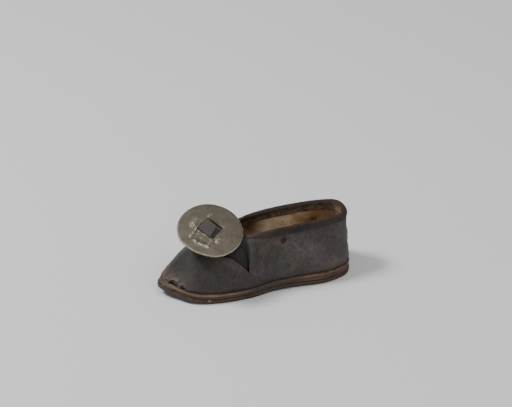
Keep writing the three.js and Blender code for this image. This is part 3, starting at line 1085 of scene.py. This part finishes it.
@functools.lru_cache(maxsize=None)
def binding_profile(u):
    turn = 2 * math.pi * u
    ragged = 1 + 0.1 * noise.noise(Vector((3 * math.cos(turn), 3 * math.sin(turn), 0.4)))
    low_out = below_collar(u, OUTER_LEG * ragged)
    low_in = below_collar(u, BINDING_DEPTH * ragged)
    rise = (face_at(u, 1) - face_at(u, 0.99)).normalized()

    def outer(share, out):
        t = lerp(low_out, 1, share)
        return layer_at(u, t, out + upper_relief(*relief_at(u, t)))

    def over(out, lift):
        return layer_at(u, 1, out) + rise * lift

    def inner(share, out):
        return layer_at(u, lerp(low_in, 1, share), -UPPER_WALL - out)

    return [
        outer(0, -0.06),
        outer(0.12, 0.02),
        outer(0.35, 0.1),
        outer(0.65, 0.18),
        outer(0.88, 0.24),
        over(0.24, 0.2),
        over(0.1, 0.6),
        over(-UPPER_WALL * 0.5, 0.8),
        over(-UPPER_WALL - 0.1, 0.65),
        over(-UPPER_WALL - 0.5, 0.15),
        inner(0.8, 0.62),
        inner(0.5, 0.66),
        inner(0.2, 0.66),
        inner(0, 0.6),
        inner(0.02, 0.3),
        inner(0.5, 0.3),
        over(-UPPER_WALL - 0.25, 0.1),
        over(-UPPER_WALL * 0.5, 0.35),
        over(0.08, 0.1),
        outer(0.5, 0.04),
    ]


def binding_point(across, up):
    profile = binding_profile(across % 1)
    p = on_line(profile + profile[:1], up % 1)
    out = (p - layer_at(across, 0.96, -UPPER_WALL / 2)).normalized()
    return p + out * uneven(p, "binding")


def binding_inside(across, up):
    """1 down the binding's inside, rising from its top inner edge."""
    return smooth(0.4, 0.6, up) * (1 - smooth(0.7, 0.72, up))


def binding_lip_shadow(across, up):
    """1 where the binding turns in at its top, where a dark red shadow line is painted."""
    return bell(up - 0.38, 0.05)


piece(
    "collar_binding_leather",
    grid(280, 40, binding_point, [("inside", binding_inside), ("lip_shadow", binding_lip_shadow)]),
    [BINDING_GRAIN],
    "collar_binding",
)

# Linings of the quarters, glued inside them up to the binding; behind them the heel is bare
LINING_WALL = 0.25
LINING_U = (0.088, 0.25)
LINING_LOW = 0.12
LINING_GLUE = 0.05
EDGE_LIFT = 0.3


def lining_point(side):
    def at(across, up):
        back = LINING_U[0] + 0.004 * noise.noise(Vector((up * 6, side, 0)))
        left = lerp(back, LINING_U[1], across)
        u = left if side > 0 else 1 - left
        t = lerp(LINING_LOW, below_collar(u, BINDING_DEPTH * 0.5), up)
        p = face_at(u, t)
        lift = EDGE_LIFT * bell(across, 0.06) * (0.6 + 0.4 * math.sin(up * 9))
        loose = (lift + abs(uneven(p, "lining"))) * smooth(0, 0.2, 1 - up)
        return layer_at(u, t, -UPPER_WALL - LINING_GLUE - loose)

    return at


for name, side in (("quarter_lining_left", 1), ("quarter_lining_right", -1)):
    lining = piece(name, grid(70, 26, lining_point(side)), [LINING])
    wall(lining, LINING_WALL)

# Sole layers: rings from the middle line of the bottom out to the edge, up it, and back in over the top. A
# profile's row is a ring: how far in from the outline, its height at a place, and how far it fills inward.


def ring_point(across, up, profile, outline):
    """A point on a profile's rings, and how close to the outline it is."""
    place_on = up * (len(profile) - 1)
    k = min(int(place_on), len(profile) - 2)
    ends = []
    for row in profile[k : k + 2]:
        p = outline(across, row["inset"])
        p.y *= 1 - row["fill"]
        p.z = row["height_at"](p.x)
        ends.append((p, 1 - row["fill"]))
    share = place_on - k
    return ends[0][0].lerp(ends[1][0], share), lerp(ends[0][1], ends[1][1], share)


def sole_piece(name, columns, profile, rough_at, materials, node, outline=sole_outline, layers=()):
    """A slab between rings. Its layers are functions of u and of the point."""

    def point_at(across, up):
        p, edge = ring_point(across, up, profile, outline)
        return p + foot_outward(across) * (rough_at(across, p) * edge)

    def kept(value_at):
        return lambda across, up: value_at(across, ring_point(across, up, profile, outline)[0])

    kept_layers = [(layer, kept(value_at)) for layer, value_at in layers]
    rings = (len(profile) - 1) * 2
    return piece(name, grid(columns, rings, point_at, kept_layers), materials, node)


def above(height_at, lift):
    return lambda x: height_at(x) + lift


OUTSOLE_PROFILE = table(
    "inset height_at fill",
    (0, ground_at, 1.0),
    (0, ground_at, 0.6),
    (EDGE_ROUND * 2, ground_at, 0.1),
    (EDGE_ROUND, ground_at, 0),
    (EDGE_ROUND * 0.3, above(ground_at, EDGE_ROUND * 0.35), 0),
    (0, above(ground_at, EDGE_ROUND), 0),
    (0, above(ground_at, OUTSOLE_WALL * 0.5), 0),
    (0.03, above(ground_at, OUTSOLE_WALL * 0.75), 0),
    (0.12, above(outsole_top_at, -0.05), 0),
    (0.4, outsole_top_at, 0),
    (1.6, outsole_top_at, 0),
    (0, outsole_top_at, 0.6),
    (0, outsole_top_at, 1.0),
)


PEG_U = 0.321
PEG_SIZE = 0.6


def peg_at(u, p):
    """1 on the end of the wooden peg in the outsole's left edge."""
    peg = sole_outline(PEG_U, 0)
    peg.z = outsole_top_at(peg.x) - 0.35
    return bell((p - peg).length, PEG_SIZE)


sole_piece(
    "outsole_leather",
    400,
    OUTSOLE_PROFILE,
    lambda u, p: uneven(p, "outsole"),
    [SOLE_EDGE],
    "outsole",
    layers=[("peg", peg_at)],
)


def midsole_bottom_at(x):
    return outsole_top_at(x) + SEAM_GAP * 0.35


def midsole_share(share):
    return lambda x: lerp(midsole_bottom_at(x), worn_top_at(x), share)


# The welt is the rolled band at the top of the midsole's edge
WELT_BAND = 0.95


def below_top(drop):
    return lambda x: worn_top_at(x) - drop


MIDSOLE_PROFILE = table(
    "inset height_at fill",
    (0, midsole_bottom_at, 1.0),
    (0, midsole_bottom_at, 0.5),
    (0.7, midsole_bottom_at, 0),
    (0.3, midsole_share(0.03), 0),
    (0.24, midsole_share(0.15), 0),
    (0.28, below_top(WELT_BAND + 0.08), 0),
    (0.12, below_top(WELT_BAND - 0.12), 0),
    (0.0, below_top(WELT_BAND * 0.6), 0),
    (0.02, below_top(WELT_BAND * 0.3), 0),
    (0.16, below_top(0.06), 0),
    (0.45, below_top(-0.02), 0),
    (1.3, below_top(0.12), 0),
    (0, worn_top_at, 0.5),
    (0, worn_top_at, 1.0),
)
# Stitch holes along the heel, u of each, on a sole edge that is about this long all round
STITCH_HOLES = [0.115, 0.101, 0.087, 0.073, 0.058, 0.042, 0.02]
STITCH_DEPTH = 0.55
EDGE_ROUND_LENGTH = 170


def stitch_pit(u, p):
    pit = max(bell((left_of(u) - hole) * EDGE_ROUND_LENGTH, 0.42) for hole in STITCH_HOLES)
    return pit * bell(midsole_top_at(p.x) - p.z - 0.2, 0.32)


def midsole_relief(u, p):
    nose = smooth(0.38, 0.43, left_of(u))
    rough = lerp(uneven(p, "midsole"), uneven(p, "midsole_nose"), nose)
    worn_in = NOSE_INSET * tip_wear(p.x) * smooth(midsole_bottom_at(p.x), worn_top_at(p.x), p.z)
    return rough - 0.2 * nose - worn_in - STITCH_DEPTH * stitch_pit(u, p)


sole_piece(
    "midsole_leather",
    440,
    MIDSOLE_PROFILE,
    midsole_relief,
    [WELT_EDGE],
    "midsole",
    layers=[
        ("down", lambda u, p: (midsole_top_at(p.x) - p.z) / WELT_BAND),
        ("pit", stitch_pit),
        ("round", lambda u, p: left_of(u)),
    ],
)

# Insole


def insole_bottom_at(x):
    return midsole_top_at(x) + SEAM_GAP


def insole_top_at(x):
    return insole_bottom_at(x) + INSOLE_WALL


INSOLE_INSET = UPPER_WALL + SEAM_GAP
INSOLE_PROFILE = table(
    "inset height_at fill",
    (INSOLE_INSET, insole_bottom_at, 1.0),
    (INSOLE_INSET, insole_bottom_at, 0.4),
    (INSOLE_INSET + 0.15, insole_bottom_at, 0),
    (INSOLE_INSET, above(insole_bottom_at, 0.25), 0),
    (INSOLE_INSET, above(insole_top_at, -0.2), 0),
    (INSOLE_INSET + 0.2, insole_top_at, 0),
    (INSOLE_INSET, insole_top_at, 0.4),
    (INSOLE_INSET, insole_top_at, 0.8),
    (INSOLE_INSET, insole_top_at, 1.0),
)


def insole_outline(u, inset):
    return ring_at(FOOT, u) - foot_outward(u) * inset


sole_piece(
    "insole_leather",
    240,
    INSOLE_PROFILE,
    lambda u, p: uneven(p, "insole"),
    [INSOLE_LEATHER],
    "insole",
    insole_outline,
)

# Buckle: a disc of tin, slipped to the left and leaning that way, on a strap end whose tab stands in its hole
STRAP_TOP = SEAM_GAP + LATCHET_WALL
BUCKLE_MIDDLE = face_at(*BUCKLE_SEAT) + Vector((BUCKLE_FORWARD, BUCKLE_SHIFT, STRAP_TOP + BUCKLE_STAND))
BUCKLE_LEVEL = Matrix.Translation(BUCKLE_MIDDLE) @ Matrix.Rotation(math.radians(-BUCKLE_LEAN), 4, "X")
DISC_DOME = 0.4
RIM_ROLL = 0.12
HOLE_LIP = 0.3

# Where the tin was bent round the hole: ridges and troughs, in millimetres from the disc's middle toward the
# toe and to the left
DENTS = table(
    "line width height",
    ([(4.9, -1.4), (6.3, 0.1), (7.8, 1.3)], 0.42, 0.3),
    ([(4.6, -0.4), (5.8, 1.0), (7.0, 2.2)], 0.5, -0.2),
    ([(6.9, 3.2), (6.4, 4.1), (5.6, 5.0)], 0.6, 0.3),
    ([(4.5, 3.0), (5.4, 3.9)], 0.6, -0.22),
    ([(4.7, 6.1), (4.0, 6.4), (3.0, 7.0)], 0.6, 0.34),
    ([(0.7, 4.6), (1.6, 5.7), (2.6, 6.8)], 0.4, 0.28),
    ([(1.6, 4.4), (3.2, 5.2)], 0.6, -0.22),
    ([(-2.6, 4.4), (-1.7, 5.1), (-1.0, 5.9)], 0.6, 0.3),
    ([(-0.6, 4.9), (-0.2, 6.2)], 0.4, -0.2),
    ([(-0.7, -5.4), (-1.5, -6.3), (-2.4, -7.1)], 0.45, 0.2),
    ([(5.2, -3.0), (4.9, -4.7), (3.6, -5.9)], 0.9, 0.17),
    ([(4.0, -3.4), (3.0, -4.6)], 0.6, -0.14),
    ([(6.5, -2.6), (6.0, -4.4)], 0.45, 0.12),
    ([(-5.0, -0.1), (-5.6, -0.6)], 0.35, 0.16),
)
DENT_LINES = [([Vector((x, y, 0)) for x, y in dent["line"]], dent["width"], dent["height"]) for dent in DENTS]
# The hole's corners: left, heel, right and toe
HOLE_CORNERS = [Vector(corner) for corner in ((0.0, 4.6), (-4.9, 0.3), (-0.4, -5.5), (4.8, -1.4))]


def dent_height(x, y):
    p = Vector((x, y, 0))
    rough = 0.75 + 0.6 * ruffle(p, 0.9, 33)
    height = 0
    for points, width, raised in DENT_LINES:
        distance, where = along_line(p, points)
        height += raised * bell(distance, width * (0.8 + 0.4 * where)) * rough
    return height


def hole_reach(angle):
    """From the middle of the disc to the edge of its four-sided hole."""
    toward = Vector((math.cos(angle), math.sin(angle)))
    reaches = []
    for a, b in zip(HOLE_CORNERS, HOLE_CORNERS[1:] + HOLE_CORNERS[:1]):
        run = b - a
        reach = (a.x * run.y - a.y * run.x) / (toward.x * run.y - toward.y * run.x)
        if reach > 0:
            reaches.append(reach)
    return min(reaches)


def rim_reach(angle):
    """From the middle of the disc to its rim, which is a little flat where the toe and the left side meet."""
    toward_flat = math.cos(angle - math.radians(45))
    return BUCKLE_DIAMETER / 2 * (1 - 0.06 * bell(toward_flat - 1, 0.13) + 0.006 * math.sin(3 * angle + 0.6))


def disc_place(across, up):
    angle = math.radians(BUCKLE_TURN) + across * 2 * math.pi
    reach = lerp(hole_reach(angle), rim_reach(angle), up**1.15)
    return reach * math.cos(angle), reach * math.sin(angle), reach / rim_reach(angle)


def disc_point(across, up):
    x, y, share = disc_place(across, up)
    bowl = DISC_DOME * (1 - share * share) - RIM_ROLL * smooth(0.94, 1.0, share)
    lip = HOLE_LIP * bell(up, 0.06) * (0.5 + 0.5 * math.sin(across * 8 * math.pi + 0.8))
    wavy = uneven(Vector((x, y, 0)), "disc")
    return BUCKLE_LEVEL @ Vector((x, y, BUCKLE_WALL / 2 + bowl + lip + wavy + dent_height(x, y)))


# Painted highlight on the dents' ridges, along the rim and at the hole's edge
def disc_highlight(across, up):
    x, y, share = disc_place(across, up)
    return min(1, max(0, dent_height(x, y)) * 3.6 + 0.7 * bell(share - 1, 0.02) + 0.3 * bell(up, 0.04))


disc = piece("tin_disc", grid(240, 44, disc_point, [("painted_highlight", disc_highlight)]), [TIN], "buckle_disc")
wall(disc, BUCKLE_WALL)
soften(disc, 0.16, 3)


def strap_point(across, up):
    u = lerp(*STRAP_U, across)
    t = lerp(*STRAP_T, up)
    p = face_at(u, t)
    return layer_at(u, t, STRAP_TOP + uneven(p, "strap"))


strap = piece("strap_end", grid(90, 24, strap_point), [STRAP_GRAIN, RAW_EDGE], "latchet_end")
wall(strap, LATCHET_WALL, 1, 1)
soften(strap, 0.2)

# The tab stands in the hole, widens to fill it below, and is bunched just under the disc. Its upper corners,
# in the order of the hole's: left, heel, right and toe
TAB_CORNERS = [Vector(corner) for corner in ((1.1, 3.95), (-2.65, -0.5), (-0.1, -4.65), (4.3, -1.3))]
TAB_BUNCH = 0.25
TAB_TOP = BUCKLE_WALL / 2 + TAB_PROUD
TAB_DEPTH = 6.0


def tab_point(along, side, rise):
    height = lerp(-TAB_DEPTH, TAB_TOP, rise)
    widened = smooth(-0.1, 0.7, -height)
    bunched = 1 + TAB_BUNCH * smooth(0.35, 0.8, -height) * (1 - smooth(1.3, 2.6, -height))
    left, heel, right, toe = (a.lerp(b, widened) for a, b in zip(TAB_CORNERS, HOLE_CORNERS))
    x, y = heel.lerp(right, along).lerp(left.lerp(toe, along), side) * bunched
    return BUCKLE_LEVEL @ Vector((x, y, height))


bm = bmesh.new()
bmesh.ops.create_cube(bm, size=1)
bmesh.ops.subdivide_edges(bm, edges=bm.edges, cuts=13, use_grid_fill=True)
for v in bm.verts:
    p = tab_point(v.co.x + 0.5, v.co.y + 0.5, v.co.z + 0.5)
    v.co = place(p + Vector((ruffle(p, 1.3, 51), ruffle(p, 1.3, 52), ruffle(p, 1.3, 53))) * 0.12)
tab = piece("buckle_tab", bm, [TAB_GRAIN])
soften(tab, 0.2, 3)

# Camera: at the photograph's angle to the shoe, level with the picture's frame of 512 by 407
PICTURE = (512, 407)
FOCAL_PIXELS = 1400
AZIMUTH = math.radians(162)
ELEVATION = math.radians(30)
CAMERA_DEPTH = 532
SENSOR_WIDTH = 36
AIM = Vector((32.2, 0, 10))
AIM_PIXEL = (269, 251)

right = Vector((math.cos(AZIMUTH), math.sin(AZIMUTH), 0))
back = Vector(
    (
        math.sin(AZIMUTH) * math.cos(ELEVATION),
        -math.cos(AZIMUTH) * math.cos(ELEVATION),
        math.sin(ELEVATION),
    )
)
up = back.cross(right)
shift_right = (AIM_PIXEL[0] - PICTURE[0] / 2) / FOCAL_PIXELS * CAMERA_DEPTH
shift_up = (PICTURE[1] / 2 - AIM_PIXEL[1]) / FOCAL_PIXELS * CAMERA_DEPTH
eye = place(AIM - right * shift_right - up * shift_up + back * CAMERA_DEPTH)
camera_data = bpy.data.cameras.new("camera")
camera_data.sensor_width = SENSOR_WIDTH
camera_data.lens = FOCAL_PIXELS * SENSOR_WIDTH / PICTURE[0]
camera_data.clip_start = 0.01
camera = add("camera", camera_data)
camera.matrix_world = Matrix.Translation(eye) @ Matrix((right, up, back)).transposed().to_4x4()
bpy.context.scene.camera = camera

# Floor and light, in metres
FLOOR_SIZE = 3
PAPER_GREY = tone(0.68, 0.68, 0.68)
SKY = tone(0.8, 0.82, 0.85)
SKY_STRENGTH = 0.47
# Each light's way off as the camera sees it: rightward, upward and toward the camera
LIGHTS = table(
    "name offset size watts",
    ("key", (-0.62, 0.8, 0.42), 0.32, 10),
    ("fill", (0.25, 0.7, 0.85), 0.9, 5.2),
)

bm = bmesh.new()
bmesh.ops.create_grid(bm, x_segments=1, y_segments=1, size=FLOOR_SIZE)
floor = add("floor", mesh_of("floor", bm))
floor.data.materials.append(Finish("floor_paper", base_color=PAPER_GREY, roughness=0.9).material)


def area_light(name, offset, size, watts):
    rightward, upward, toward = offset
    off = right * rightward + up * upward + back * toward
    light = bpy.data.lights.new(name, "AREA")
    light.shape = "DISK"
    light.size = size
    light.energy = watts
    made = add(name, light)
    facing = (-off).to_track_quat("-Z", "Y")
    made.matrix_world = Matrix.Translation(place(AIM) + off) @ facing.to_matrix().to_4x4()


for row in LIGHTS:
    area_light(**row)
world = bpy.data.worlds.new("studio")
world.use_nodes = True
background = world.node_tree.nodes["Background"]
background.inputs["Color"].default_value = SKY
background.inputs["Strength"].default_value = SKY_STRENGTH
bpy.context.scene.world = world
